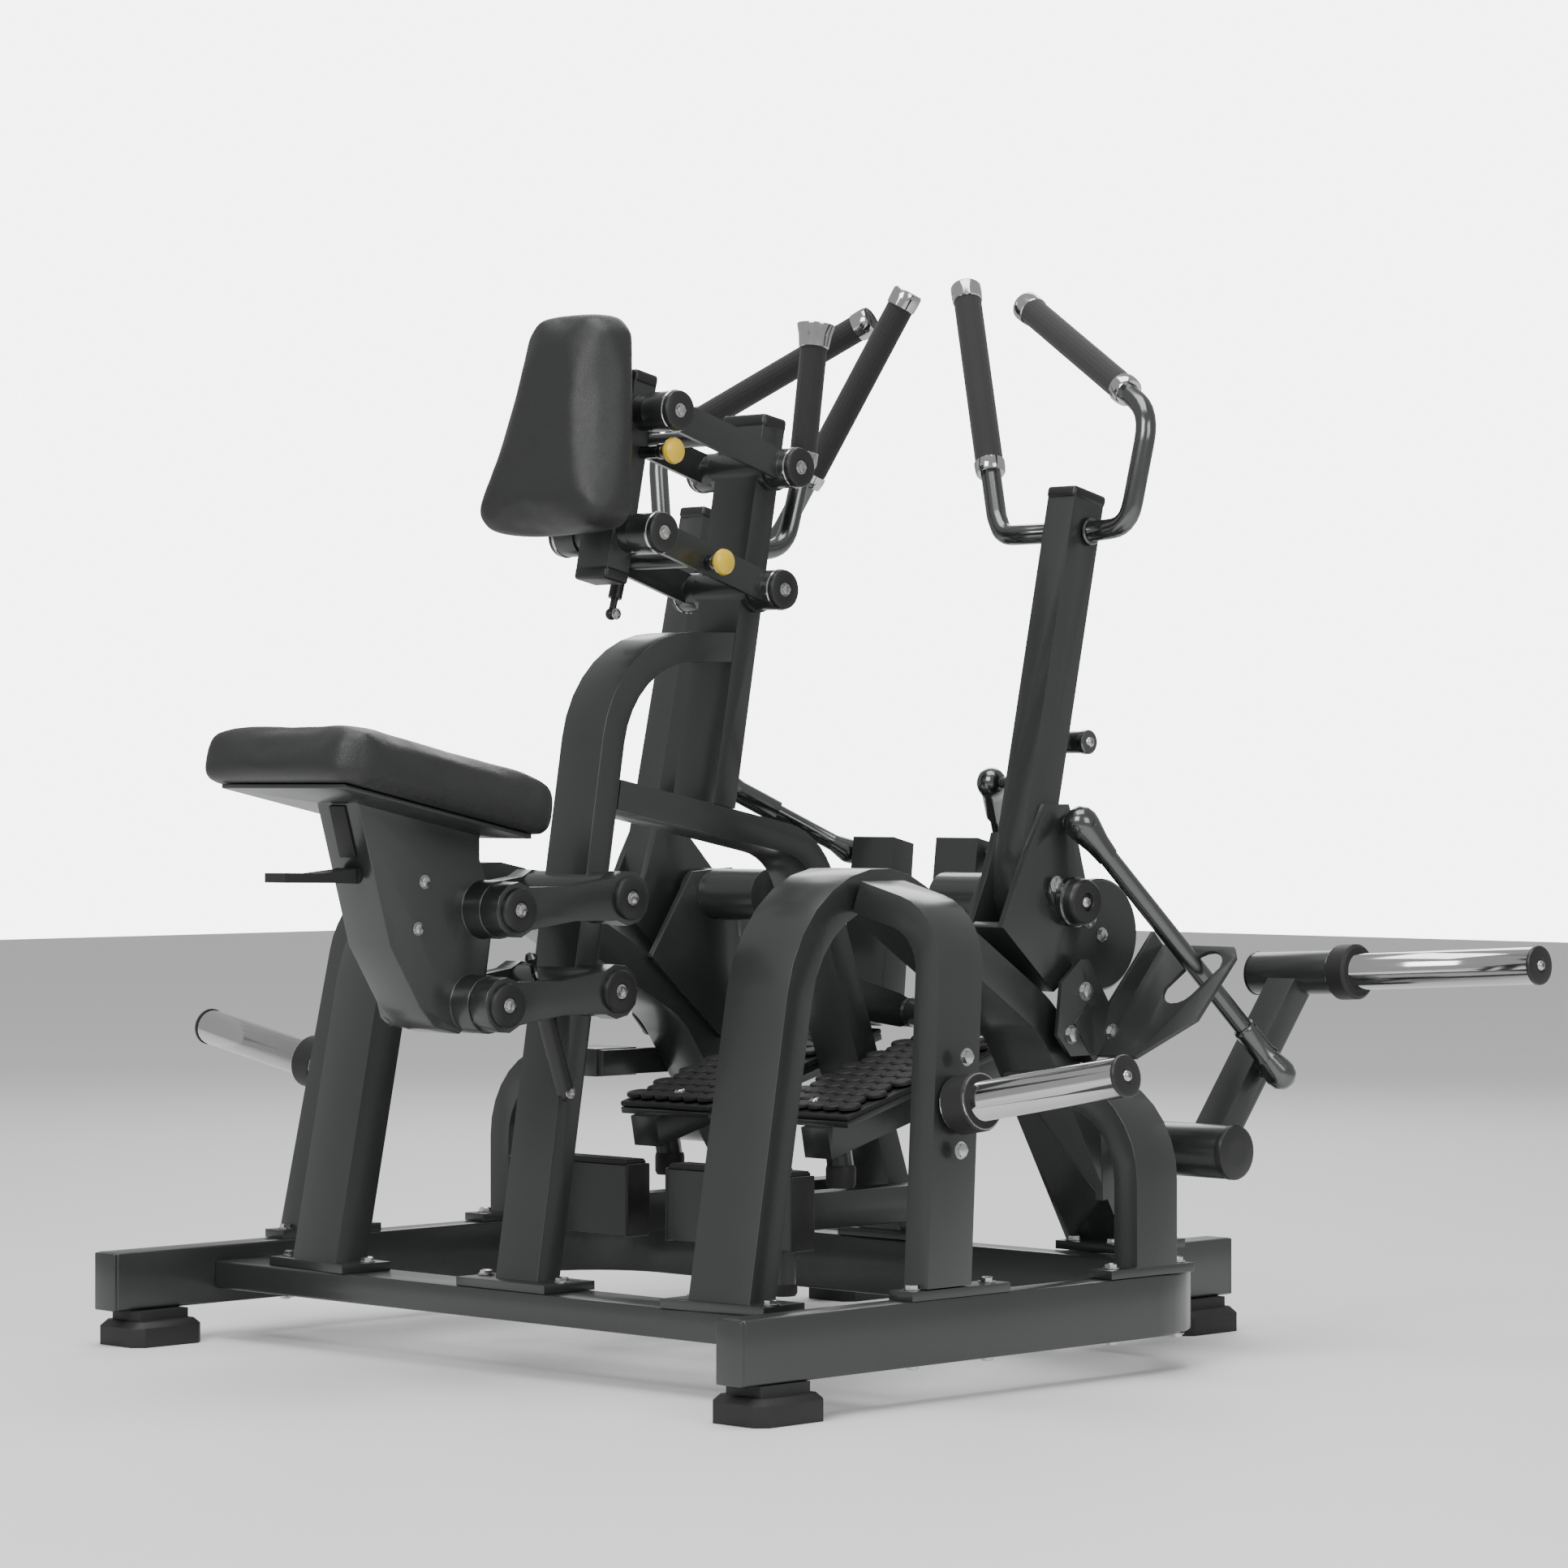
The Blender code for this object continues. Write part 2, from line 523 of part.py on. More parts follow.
for name, rear, front in (("seat_link_upper", seatRears[0], seatPivots[0]),
                          ("seat_link_lower", seatRears[1], seatPivots[1])):
    mid = (rear[0] * 0.72 + front[0] * 0.28, rear[1] * 0.72 + front[1] * 0.28)
    pieces = [prism(dogBone(rear, front), 0.0740, 0.1050), prism(dogBone(rear, front), -0.1050, -0.0740),
              rod((-0.080, *mid), (0.080, *mid), 0.011)]
    single(name, armPaint, pieces, (0, *front))

bracket = prism([(-0.702, 0.7457), (-0.495, 0.7028), (-0.495, 0.668), (-0.470, 0.600), (-0.490, 0.480), (-0.530, 0.445),
                 (-0.574, 0.456), (-0.597, 0.480), (-0.648, 0.560), (-0.671, 0.639)], -0.0400, 0.0400)
hubs = [rod((-0.0735, y, z), (0.0735, y, z), 0.0375) for y, z in seatRears]
padPlate = prism([(-0.790, 0.7655), (-0.790, 0.7595), (-0.478, 0.6950), (-0.478, 0.7010)], -0.120, 0.120)
single("seat_bracket", armPaint, [bracket, padPlate] + hubs, (0, *seatRears[0]))


def padMesh(rear, front, thick, halfRear, halfFront, crown, cut):
    """Pad block on its slope with eased edges."""
    bm = bmesh.new()
    a, b = Vector(rear), Vector(front)
    d = (b - a).normalized()
    n = Vector((-d.y, d.x))
    layers = []
    for up, ease in ((0.0, 0.006), (0.010, 0.0), (thick - 0.016, 0.0), (thick - 0.004, 0.006), (thick, 0.020)):
        ring = []
        for along, half, sy in ((0, halfRear, 1), (1, halfFront, -1)):
            for side in (1, -1):
                side = side * sy
                corner = a + (b - a) * along + n * up
                edge = d * (ease if along == 0 else -ease)
                inset = half - ease
                first = (side * inset, corner + edge + d * (cut if along == 0 else -cut))
                second = (side * (inset - cut), corner + edge)
                ring += [first, second] if (along == 0) == (side > 0) else [second, first]
        layers.append([bm.verts.new(at(x, p.x, p.y)) for x, p in ring])
    for lo, hi in zip(layers, layers[1:]):
        for k in range(8):
            bm.faces.new((lo[k], lo[(k + 1) % 8], hi[(k + 1) % 8], hi[k]))
    bm.faces.new(layers[0][::-1])
    bm.faces.new(layers[-1])
    return bm


single("seat_pad", hide, [padMesh((-0.8180, 0.7719), (-0.4500, 0.6956), 0.070, 0.154, 0.150, 0.004, 0.022)],
       (0, *seatRears[0]))
paddleAxis = (-0.6845, 0.6490)
paddle = prism([(-0.8020, 0.6540), (-0.8020, 0.6420), (-0.7400, 0.6410), (-0.6860, 0.6400), (-0.6860, 0.6580),
                (-0.7400, 0.6530)], -0.020, 0.020)
single("seat_paddle", rubber, [paddle, rod((-0.0198, *paddleAxis), (0.0198, *paddleAxis), 0.0100)], (0, *paddleAxis))

springTop, springFoot = Vector((0.0600, -0.4250, 0.5400)), Vector((0.0600, -0.3640, 0.3640))
way = (springTop - springFoot).normalized()
single("seat_spring_case", rubber, [rod(springFoot, springFoot + way * 0.125, 0.0120), ball(springFoot, 0.0120)],
       tuple(springFoot), cuts=[rod(springFoot + way * 0.055, springFoot + way * 0.130, 0.0056)])
single("seat_spring_rod", steel, [rod(springFoot + way * 0.092, springTop, 0.0045)], tuple(springFoot))

# Chest support: two links with flat bars, upright, pad, gas spring and two pull pins
for name, rear, front in (("chest_link_upper", chestRears[0], chestPivots[0]),
                          ("chest_link_lower", chestRears[1], chestPivots[1])):
    a, b = Vector(rear), Vector(front)
    d = (b - a).normalized()
    n = Vector((-d.y, d.x))
    flat = [tuple(a + n * 0.0205), tuple(b + n * 0.0205), tuple(b - n * 0.0205), tuple(a - n * 0.0205)]
    pieces = []
    for s in (1, -1):
        x0, x1 = sorted((s * 0.0700, s * 0.0780))
        pieces.append(prism(flat, x0, x1))
        for y, z in (rear, front):
            pieces.append(rod((s * 0.0510, y, z), (s * 0.0920, y, z), 0.0270))
    mid = a.lerp(b, 0.45)
    pieces.append(rod((-0.0740, mid.x, mid.y), (0.0740, mid.x, mid.y), 0.0110))
    single(name, armPaint, [pieces[0]] + pieces[1:], (0, *front))

uprightLow, uprightHigh = Vector((-0.2420, 1.0450)), Vector((-0.1900, 1.3000))
upright = prism(banded([uprightLow, uprightHigh], 0.040), -0.0300, 0.0300)
hubs = [rod((-0.0505, y, z), (0.0505, y, z), 0.0250) for y, z in chestRears]
block = prism([(-0.262, 1.215), (-0.262, 1.150), (-0.225, 1.150), (-0.212, 1.215)], -0.025, 0.025)
single("chest_upright", armPaint, [upright, block] + hubs, (0, *chestRears[0]))


def chestPadMesh():
    """Tapered pad block with eased front edges."""
    bm = bmesh.new()
    layers = []
    for back, ease in ((0.0, 0.004), (0.010, 0.0), (0.056, 0.0), (0.068, 0.006), (0.073, 0.018)):
        ring = []
        for z, y, half in ((1.093, -0.2950, 0.1250), (1.385, -0.2480, 0.0760)):
            up = 1 if z < 1.2 else -1
            for side in ((-1, 1) if z < 1.2 else (1, -1)):
                inset = half - ease
                c = 0.022
                p = (side * inset, y - back, z + up * (ease + c))
                q = (side * (inset - c), y - back, z + up * ease)
                ring += [p, q] if (up > 0) == (side < 0) else [q, p]
        layers.append([bm.verts.new(at(x, y, z)) for x, y, z in ring])
    for lo, hi in zip(layers, layers[1:]):
        for k in range(8):
            bm.faces.new((lo[k], lo[(k + 1) % 8], hi[(k + 1) % 8], hi[k]))
    bm.faces.new(layers[0][::-1])
    bm.faces.new(layers[-1])
    return bm


single("chest_pad", hide, [chestPadMesh()], (0, *chestRears[0]))

foot, head = Vector((-0.045, -0.1820, 0.9930)), Vector((-0.045, -0.1500, 1.1060))
way = (head - foot).normalized()
single("chest_spring_case", rubber, [rod(foot + way * 0.022, foot + way * 0.081, 0.0095), rod(foot, foot + way * 0.03, 0.0050),
                                     ball(foot, 0.0085)], tuple(foot), cuts=[rod(foot + way * 0.034, foot + way * 0.085, 0.0046)])
single("chest_spring_rod", steel, [rod(foot + way * 0.0555, head, 0.0035)], tuple(foot))

single("pull_pin_upper", knobYellow, [rod((0.0303, -0.196, 1.205), (0.0710, -0.196, 1.205), 0.0080),
                                      rod((0.0705, -0.196, 1.205), (0.0930, -0.196, 1.205), 0.0160)], (0.0600, -0.196, 1.205))
single("pull_pin_lower", knobYellow, [rod((0.0783, -0.119, 1.060), (0.0890, -0.119, 1.060), 0.0080),
                                      rod((0.0885, -0.119, 1.060), (0.1100, -0.119, 1.060), 0.0160)], (0.0783, -0.119, 1.060))
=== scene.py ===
import json
import math

import bmesh
import bpy
from mathutils import Matrix, Vector


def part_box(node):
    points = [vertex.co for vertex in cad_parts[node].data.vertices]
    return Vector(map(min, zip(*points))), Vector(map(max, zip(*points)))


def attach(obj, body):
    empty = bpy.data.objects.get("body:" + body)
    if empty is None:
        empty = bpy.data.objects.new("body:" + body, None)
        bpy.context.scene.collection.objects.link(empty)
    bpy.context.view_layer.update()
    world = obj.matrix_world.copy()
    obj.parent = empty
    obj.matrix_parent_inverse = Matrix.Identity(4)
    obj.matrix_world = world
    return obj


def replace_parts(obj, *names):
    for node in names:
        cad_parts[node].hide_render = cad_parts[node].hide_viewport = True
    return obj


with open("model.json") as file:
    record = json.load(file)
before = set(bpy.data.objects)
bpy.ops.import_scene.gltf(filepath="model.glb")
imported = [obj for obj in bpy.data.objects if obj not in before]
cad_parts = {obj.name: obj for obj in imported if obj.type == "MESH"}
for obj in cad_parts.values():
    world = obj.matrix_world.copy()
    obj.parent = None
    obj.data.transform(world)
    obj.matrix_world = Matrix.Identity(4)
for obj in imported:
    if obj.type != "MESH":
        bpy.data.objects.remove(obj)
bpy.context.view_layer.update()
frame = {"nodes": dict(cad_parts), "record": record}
nodes = frame["nodes"]
bodyOf = {n: b for b, group in frame["record"]["behaviour"]["bodies"].items() for n in group}
yMid = 0.0855  # the record's origin is this far behind the plan's own zero
print("frame loaded:", len(nodes), "nodes")


def at(x, y, z):
    return Vector((x, y + yMid, z))


# camera, lights and floor
cameraSet = {"place": at(4.765, -4.743, 0.765), "look": Vector((-0.7012, 0.7130, 0.0)), "lens": 113.4}
cameraData = bpy.data.cameras.new("camera")
cameraData.lens = cameraSet["lens"]
cameraData.sensor_width = 36.0
cameraData.clip_end = 60.0
camera = bpy.data.objects.new("camera", cameraData)
camera.location = cameraSet["place"]
camera.rotation_euler = cameraSet["look"].to_track_quat("-Z", "Y").to_euler()
bpy.context.scene.collection.objects.link(camera)
bpy.context.scene.camera = camera

lightSet = (
    ("lightFront", (1.2, -4.2, 3.4), 150, 2.4),
    ("lightRight", (4.6, -0.6, 2.6), 60, 2.2),
    ("lightBack", (-2.8, 3.6, 3.2), 80, 2.6),
    ("lightTop", (0.2, -0.2, 4.6), 130, 2.8),
)
for lightName, place, power, size in lightSet:
    lamp = bpy.data.lights.new(lightName, "AREA")
    lamp.energy = power
    lamp.size = size
    holder = bpy.data.objects.new(lightName, lamp)
    holder.location = place
    holder.rotation_euler = (Vector((0, 0, 0.6)) - Vector(place)).to_track_quat("-Z", "Y").to_euler()
    bpy.context.scene.collection.objects.link(holder)

world = bpy.data.worlds.new("paleRoom")
world.use_nodes = True
world.node_tree.nodes["Background"].inputs["Color"].default_value = (1.0, 1.0, 1.0, 1.0)
worldTree = world.node_tree
rayKind = worldTree.nodes.new("ShaderNodeLightPath")
strength = worldTree.nodes.new("ShaderNodeMix")
strength.data_type = "FLOAT"
strength.inputs["A"].default_value = 0.55
strength.inputs["B"].default_value = 6.0
worldTree.links.new(rayKind.outputs["Is Camera Ray"], strength.inputs["Factor"])
worldTree.links.new(strength.outputs["Result"], worldTree.nodes["Background"].inputs["Strength"])
bpy.context.scene.world = world


# shared effects
def newGroup(name, inputs, outputs):
    group = bpy.data.node_groups.new(name, "ShaderNodeTree")
    for label, kind, value in inputs:
        socket = group.interface.new_socket(label, in_out="INPUT", socket_type=kind)
        socket.default_value = value
    for label, kind in outputs:
        group.interface.new_socket(label, in_out="OUTPUT", socket_type=kind)
    return group, group.nodes.new("NodeGroupInput"), group.nodes.new("NodeGroupOutput")


def linkAll(tree, *pairs):
    for a, b in pairs:
        tree.links.new(a, b)


def mathNode(tree, operation, a, b):
    node = tree.nodes.new("ShaderNodeMath")
    node.operation = operation
    for i, v in enumerate((a, b)):
        if isinstance(v, (int, float)):
            node.inputs[i].default_value = v
        else:
            tree.links.new(v, node.inputs[i])
    return node.outputs[0]


def makeMottle():
    # slow drift of tone and gloss, as on hand-sprayed or handled surfaces
    group, gIn, gOut = newGroup("mottle",
                                [("Color", "NodeSocketColor", (0.5, 0.5, 0.5, 1)),
                                 ("Scale", "NodeSocketFloat", 6.0),
                                           ("Amount", "NodeSocketFloat", 0.1),
                                           ("Roughness", "NodeSocketFloat", 0.4)],
                                [("Color", "NodeSocketColor"), ("Roughness", "NodeSocketFloat")])
    coord = group.nodes.new("ShaderNodeTexCoord")
    noise = group.nodes.new("ShaderNodeTexNoise")
    noise.inputs["Detail"].default_value = 5.0
    linkAll(group, (coord.outputs["Object"], noise.inputs["Vector"]),
            (gIn.outputs["Scale"], noise.inputs["Scale"]))
    centred = mathNode(group, "SUBTRACT", noise.outputs["Fac"], 0.5)
    swing = mathNode(group, "MULTIPLY", centred, gIn.outputs["Amount"])
    gain = mathNode(group, "ADD", swing, 1.0)
    scale = group.nodes.new("ShaderNodeVectorMath")
    scale.operation = "SCALE"
    linkAll(group, (gIn.outputs["Color"], scale.inputs[0]), (gain, scale.inputs["Scale"]),
            (scale.outputs[0], gOut.inputs["Color"]))
    rough = mathNode(group, "ADD", gIn.outputs["Roughness"], mathNode(group, "MULTIPLY", swing, 0.6))
    linkAll(group, (rough, gOut.inputs["Roughness"]))
    return group


def makeGrain():
    # fine surface relief: a noise for paint peel, cells for leather and moulded rubber
    group, gIn, gOut = newGroup("grain",
                                [("Fine", "NodeSocketFloat", 600.0), ("Cells", "NodeSocketFloat", 300.0),
                                          ("Mix", "NodeSocketFloat", 0.5)], [("Height", "NodeSocketFloat")])
    coord = group.nodes.new("ShaderNodeTexCoord")
    noise = group.nodes.new("ShaderNodeTexNoise")
    noise.inputs["Detail"].default_value = 3.0
    cells = group.nodes.new("ShaderNodeTexVoronoi")
    cells.feature = "DISTANCE_TO_EDGE"
    cap = mathNode(group, "MINIMUM", mathNode(group, "MULTIPLY", cells.outputs["Distance"], 3.0), 0.6)
    linkAll(group, (coord.outputs["Object"], noise.inputs["Vector"]),
            (gIn.outputs["Fine"], noise.inputs["Scale"]),
            (coord.outputs["Object"], cells.inputs["Vector"]), (gIn.outputs["Cells"], cells.inputs["Scale"]))
    keep = mathNode(group, "SUBTRACT", 1.0, gIn.outputs["Mix"])
    total = mathNode(group, "ADD", mathNode(group, "MULTIPLY", cap, gIn.outputs["Mix"]),
                     mathNode(group, "MULTIPLY", noise.outputs["Fac"], keep))
    linkAll(group, (total, gOut.inputs["Height"]))
    return group


mottleGroup = makeMottle()
grainGroup = makeGrain()


def makeFinish(name, look):
    mat = bpy.data.materials.new(name)
    mat.use_nodes = True
    tree = mat.node_tree
    shader = tree.nodes["Principled BSDF"]
    tone = tree.nodes.new("ShaderNodeGroup")
    tone.node_tree = mottleGroup
    tone.inputs["Color"].default_value = (*look["color"], 1)
    tone.inputs["Scale"].default_value = look.get("drift", 7.0)
    tone.inputs["Amount"].default_value = look.get("amount", 0.25)
    tone.inputs["Roughness"].default_value = look["roughness"]
    grain = tree.nodes.new("ShaderNodeGroup")
    grain.node_tree = grainGroup
    grain.inputs["Fine"].default_value = look.get("fine", 700.0)
    grain.inputs["Cells"].default_value = look.get("cells", 400.0)
    grain.inputs["Mix"].default_value = look.get("cellMix", 0.0)
    bump = tree.nodes.new("ShaderNodeBump")
    bump.inputs["Strength"].default_value = look.get("bump", 0.1)
    bump.inputs["Distance"].default_value = look.get("depth", 0.0004)
    linkAll(tree, (tone.outputs["Color"], shader.inputs["Base Color"]),
            (tone.outputs["Roughness"], shader.inputs["Roughness"]),
            (grain.outputs["Height"], bump.inputs["Height"]),
            (bump.outputs["Normal"], shader.inputs["Normal"]))
    shader.inputs["Metallic"].default_value = look.get("metallic", 0.0)
    shader.inputs["Coat Weight"].default_value = look.get("coat", 0.0)
    shader.inputs["Coat Roughness"].default_value = 0.15
    shader.inputs["Sheen Weight"].default_value = look.get("sheen", 0.0)
    return mat


finish = {
    "framePaint": makeFinish("framePaint",
                             {"color": (0.050, 0.055, 0.053), "roughness": 0.32, "metallic": 0.60,
                              "bump": 0.10,
                                            "coat": 0.25, "amount": 0.18}),
    "chrome": makeFinish("chrome",
                         {"color": (0.52, 0.52, 0.52), "roughness": 0.10, "metallic": 1.0, "bump": 0.03,
                          "fine": 250}),
    "zinc": makeFinish("zinc",
                       {"color": (0.50, 0.50, 0.49), "roughness": 0.24, "metallic": 1.0, "bump": 0.06}),
    "gunmetal": makeFinish("gunmetal",
                           {"color": (0.13, 0.135, 0.135), "roughness": 0.20, "metallic": 0.95,
                            "bump": 0.03}),
    "rubber": makeFinish("rubber",
                         {"color": (0.009, 0.009, 0.009), "roughness": 0.60, "bump": 0.25, "fine": 900,
                          "amount": 0.4}),
    "cap": makeFinish("cap",
                      {"color": (0.010, 0.0105, 0.0105), "roughness": 0.40, "bump": 0.15, "cells": 700,
                       "cellMix": 0.5}),
    "foam": makeFinish("foam",
                       {"color": (0.008, 0.008, 0.008), "roughness": 0.80, "bump": 0.6, "fine": 1400,
                        "cells": 900,
                                "cellMix": 0.4, "sheen": 0.15}),
    "leather": makeFinish("leather",
                          {"color": (0.011, 0.0115, 0.0115), "roughness": 0.44, "bump": 0.45, "fine": 500,
                                      "cells": 420, "cellMix": 0.8, "depth": 0.0006, "amount": 0.3}),
    "yellow": makeFinish("yellow",
                         {"color": (0.70, 0.47, 0.025), "roughness": 0.30, "bump": 0.08, "coat": 0.3}),
}
print("finishes made:", len(finish))


# helpers
def deselectAll():
    for ob in bpy.context.selected_objects:
        ob.select_set(False)


def only(ob):
    deselectAll()
    ob.select_set(True)
    bpy.context.view_layer.objects.active = ob


def applyAll(ob):
    only(ob)
    for modifier in list(ob.modifiers):
        bpy.ops.object.modifier_apply(modifier=modifier.name)


def finishPiece(ob, name, look, body, angle=35):
    only(ob)
    bpy.ops.object.transform_apply(location=True, rotation=True, scale=True)
    applyAll(ob)
    bpy.ops.object.shade_smooth_by_angle(angle=math.radians(angle))
    ob.name = name
    ob.data.materials.clear()
    ob.data.materials.append(finish[look])
    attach(ob, body)
    return ob


def joinPieces(parts):
    deselectAll()
    for ob in parts:
        ob.select_set(True)
    bpy.context.view_layer.objects.active = parts[0]
    bpy.ops.object.join()
    return parts[0]


def turnTo(ob, place, way):
    ob.matrix_world = Matrix.Translation(place) @ Vector(way).to_track_quat("Z", "Y").to_matrix().to_4x4()
    only(ob)
    bpy.ops.object.transform_apply(location=True, rotation=True, scale=True)
    return ob


def turned(profile, place, way, steps=32):
    # a lathe-turned form: (radius, height) points spun round the line through place
    mesh = bpy.data.meshes.new("turned")
    mesh.from_pydata([(r, 0, h) for r, h in profile], [(i, i + 1) for i in range(len(profile) - 1)], [])
    ob = bpy.data.objects.new("turned", mesh)
    bpy.context.scene.collection.objects.link(ob)
    screw = ob.modifiers.new("spin", "SCREW")
    screw.steps = screw.render_steps = steps
    screw.use_merge_vertices = True
    screw.merge_threshold = 0.00002
    applyAll(ob)
    bpy.ops.object.mode_set(mode="EDIT")
    bpy.ops.mesh.select_all(action="SELECT")
    bpy.ops.mesh.remove_doubles(threshold=0.00002)
    bpy.ops.mesh.normals_make_consistent(inside=False)
    bpy.ops.object.mode_set(mode="OBJECT")
    return turnTo(ob, place, way)


def roundedBlock(size, place, tilt=0.0, edge=0.003, turn=0.0):
    # a block with rounded edges, tilted about X
    deselectAll()
    bpy.ops.mesh.primitive_cube_add(size=1.0)
    ob = bpy.context.active_object
    ob.scale = size
    bpy.ops.object.transform_apply(location=False, rotation=False, scale=True)
    soften = ob.modifiers.new("edge", "BEVEL")
    soften.width = edge
    soften.segments = 3
    applyAll(ob)
    ob.matrix_world = Matrix.Translation(place) @ Matrix.Rotation(turn, 4, "Z") @ Matrix.Rotation(tilt, 4,
                                                            "X")
    only(ob)
    bpy.ops.object.transform_apply(location=True, rotation=True, scale=True)
    return ob


def plateFromOutline(outline, x0, x1, edge=0.0015):
    # side outline of (y, z) points made into a plate with eased edges
    mesh = bpy.data.meshes.new("plate")
    mesh.from_pydata([at(x0, y, z) for y, z in outline], [], [tuple(range(len(outline)))])
    ob = bpy.data.objects.new("plate", mesh)
    bpy.context.scene.collection.objects.link(ob)
    thick = ob.modifiers.new("thick", "SOLIDIFY")
    thick.thickness = abs(x1 - x0)
    thick.offset = 1 if (x1 - x0) * mesh.polygons[0].normal.x > 0 else -1
    soften = ob.modifiers.new("edge", "BEVEL")
    soften.width = edge
    soften.segments = 2
    applyAll(ob)
    bpy.ops.object.mode_set(mode="EDIT")
    bpy.ops.mesh.select_all(action="SELECT")
    bpy.ops.mesh.normals_make_consistent(inside=False)
    bpy.ops.object.mode_set(mode="OBJECT")
    return ob


def tubeAlong(points, radius, closed=False):
    curve = bpy.data.curves.new("tube", "CURVE")
    curve.dimensions = "3D"
    spline = curve.splines.new("POLY")
    spline.points.add(len(points) - 1)
    for p, target in zip(points, spline.points):
        target.co = (*p, 1)
    spline.use_cyclic_u = closed
    curve.bevel_depth = radius
    curve.bevel_resolution = 3
    curve.use_fill_caps = True
    ob = bpy.data.objects.new("tube", curve)
    bpy.context.scene.collection.objects.link(ob)
    only(ob)
    bpy.ops.object.convert(target="MESH")
    return bpy.context.active_object


# fasteners: a hex head on a washer, or a button-head screw
boltSet = {"head": 0.0088, "height": 0.0068, "washer": 0.0112}


def hexBolt(place, way, size=1.0):
    r, h, w = boltSet["head"] * size, boltSet["height"] * size, boltSet["washer"] * size
    head = turned([(0, h), (r * 0.72, h), (r, h * 0.86), (r, 0.0012)], Vector((0, 0, 0)), (0, 0, 1), steps=6)
    washer = turned([(r * 0.9, 0.0014), (w, 0.0014), (w, 0.0)], Vector((0, 0, 0)), (0, 0, 1), steps=24)
    return turnTo(joinPieces([head, washer]), place, way)


def buttonScrew(place, way, size=1.0):
    r = 0.0075 * size
    return turned([(0, r * 0.25), (r * 0.34, r * 0.25), (r * 0.36, r * 0.62), (r * 0.6, r * 0.58),
                   (r * 0.9, r * 0.32), (r, 0.0)],
                  place, way, steps=20)


# steel bodies: the frame's own shapes with the rounded edges of real tube and plate
edgeWidth = {"base_frame": 0.0040, "front_cross_rail": 0.0030, "arch": 0.0045, "outrigger": 0.0040,
             "curved_leg": 0.0040,
             "centre_post": 0.0040, "mast": 0.0040, "spine": 0.0040, "lever": 0.0030, "weight_arm": 0.0035,
             "pedal_": 0.0025,
             "guard": 0.0012, "foot_bar": 0.0030, "seat_bracket": 0.0015, "seat_link": 0.0045,
             "chest_link": 0.0020,
             "chest_upright": 0.0030, "pivot_housing": 0.0015}


def softenNode(name, look, width, angle=32):
    ob = bpy.data.objects.new(name + "_body", nodes[name].data.copy())
    bpy.context.scene.collection.objects.link(ob)
    bm = bmesh.new()
    bm.from_mesh(ob.data)
    bmesh.ops.remove_doubles(bm, verts=bm.verts, dist=0.00002)
    bmesh.ops.dissolve_limit(bm, angle_limit=math.radians(0.6), verts=bm.verts, edges=bm.edges)
    bm.to_mesh(ob.data)
    bm.free()
    if width:
        soften = ob.modifiers.new("edge", "BEVEL")
        soften.width = width
        soften.segments = 3
        soften.limit_method = "ANGLE"
        soften.angle_limit = math.radians(40)
        soften.use_clamp_overlap = True
        soften.miter_outer = "MITER_ARC"
    finishPiece(ob, name + "_body", look, bodyOf[name], angle=angle)
    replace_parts(ob, name)
    return ob


for name in sorted(nodes):
    for start, width in edgeWidth.items():
        if name.startswith(start) and not name.startswith("pedal_tread"):
            softenNode(name, "framePaint", width)
            break
print("steel bodies rounded")

slotFinish = {"frame_paint": "framePaint", "arm_paint": "framePaint", "chrome": "chrome", "steel": "zinc",
              "gunmetal": "gunmetal",
              "rubber": "rubber", "foam": "foam", "hide": "leather", "yellow": "yellow"}
nodeSlot = {s["node"]: s["material_slot"] for s in frame["record"]["subparts"]}
for name, ob in nodes.items():
    ob.data.materials.clear()
    ob.data.materials.append(finish[slotFinish[nodeSlot[name]]])
for name in ("handle_tube", "push_rod", "link_rod", "storage_horn", "weight_horn"):
    for side in ("right", "left"):
        softenNode(name + "_" + side, slotFinish[nodeSlot[name + "_" + side]], 0.0, angle=40)
softenNode("steady_handle", "gunmetal", 0.0, angle=40)
for name in ("foot_front_right", "foot_front_left", "foot_rear_right", "foot_rear_left"):
    softenNode(name, "rubber", 0.0025)
for name, look in (("seat_spring_case", "cap"), ("seat_spring_rod", "chrome"), ("chest_spring_case", "cap"),
                   ("chest_spring_rod", "chrome"), ("seat_paddle", "cap")):
    softenNode(name, look, 0.0)


# caps, collars and bearings, made once for each side
def capProfile(radius, height, dish=0.25):
    return [(0, height * (1 - dish)), (radius * 0.34, height * (1 - dish)), (radius * 0.40, height),
            (radius * 0.86, height),
            (radius * 0.97, height * 0.82), (radius, height * 0.6), (radius, 0.0), (0, 0.0)]


def ringProfile(inner, outer, height, ease=0.002):
    return [(inner, 0), (outer - ease, 0), (outer, ease), (outer, height - ease), (outer - ease, height),
            (inner, height),
            (inner, 0)]


